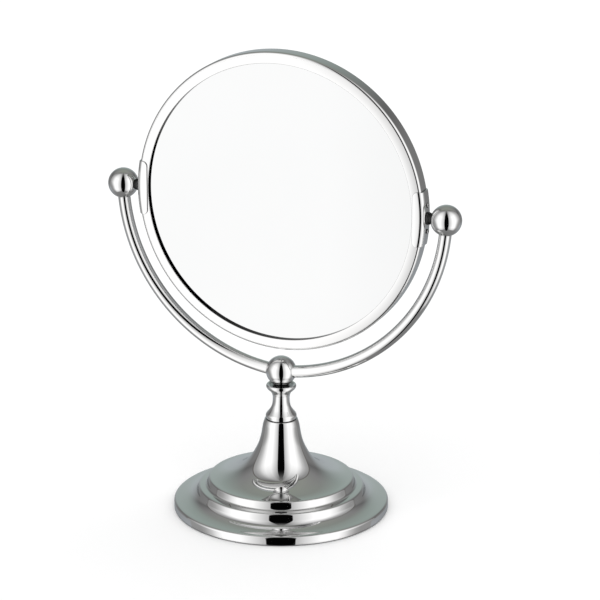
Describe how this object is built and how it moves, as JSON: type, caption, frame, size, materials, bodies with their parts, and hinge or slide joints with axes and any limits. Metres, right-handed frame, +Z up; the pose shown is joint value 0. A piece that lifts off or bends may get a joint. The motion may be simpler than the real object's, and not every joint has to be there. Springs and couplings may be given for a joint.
{
  "type": "countertop mirror",
  "caption": "Round two-sided countertop mirror that tilts between the balls of a curved yoke, on a turned neck and a stepped, bell-shaped chrome base.",
  "frame": {"origin": "centre of the base's underside, on the surface the mirror stands on", "axes": "+Z up along the pedestal, X along the mirror's tilt axis, and the plain mirror face looks along -Y at rest"},
  "size_m": [0.2718, 0.1574, 0.3426],
  "materials": {
    "chrome": "polished plating",
    "plated_screw": "bright plated",
    "cast_weight": "rough cast, black",
    "sheet_steel": "rolled sheet",
    "zinc_steel": "zinc plated",
    "felt": "felt",
    "nylon": "moulded",
    "spring_steel": "blackened spring steel",
    "mirror_glass": "silvered glass",
    "backing": "plain board",
    "foam": "foam"
  },
  "bodies": {
    "base": {"base_shell": "chrome", "base_cover": "sheet_steel", "felt_pad": "felt", "ballast_disc": "cast_weight"},
    "yoke": {"neck": "chrome", "neck_washer": "nylon", "tie_rod": "zinc_steel", "tie_rod_washer": "zinc_steel", "tie_rod_spring_washer": "zinc_steel", "tie_rod_nut": "zinc_steel", "hub_ball": "chrome", "left_arm": "chrome", "left_ball": "chrome", "left_pivot_pin": "zinc_steel", "left_nylon_washer": "nylon", "left_wave_washer": "spring_steel", "left_steel_washer": "spring_steel", "right_arm": "chrome", "right_ball": "chrome", "right_pivot_pin": "zinc_steel", "right_nylon_washer": "nylon", "right_wave_washer": "spring_steel", "right_steel_washer": "spring_steel"},
    "mirror_head": {"outer_band": "chrome", "front_bezel": "chrome", "back_bezel": "chrome", "front_glass": "mirror_glass", "back_glass": "mirror_glass", "backing_board": "backing", "cushion_ring": "foam", "bracket_screws": "plated_screw", "left_bracket": "chrome", "left_pivot_block": "zinc_steel", "right_bracket": "chrome", "right_pivot_block": "zinc_steel"}
  },
  "joints": [
    {"name": "yoke_swivel", "type": "hinge", "parent": "base", "child": "yoke", "pos_m": [0, 0, 0.0685], "axis": [0, 0, 1], "continuous": true},
    {"name": "mirror_tilt", "type": "hinge", "parent": "yoke", "child": "mirror_head", "pos_m": [0, 0, 0.2329], "axis": [1, 0, 0], "continuous": true}
  ]
}
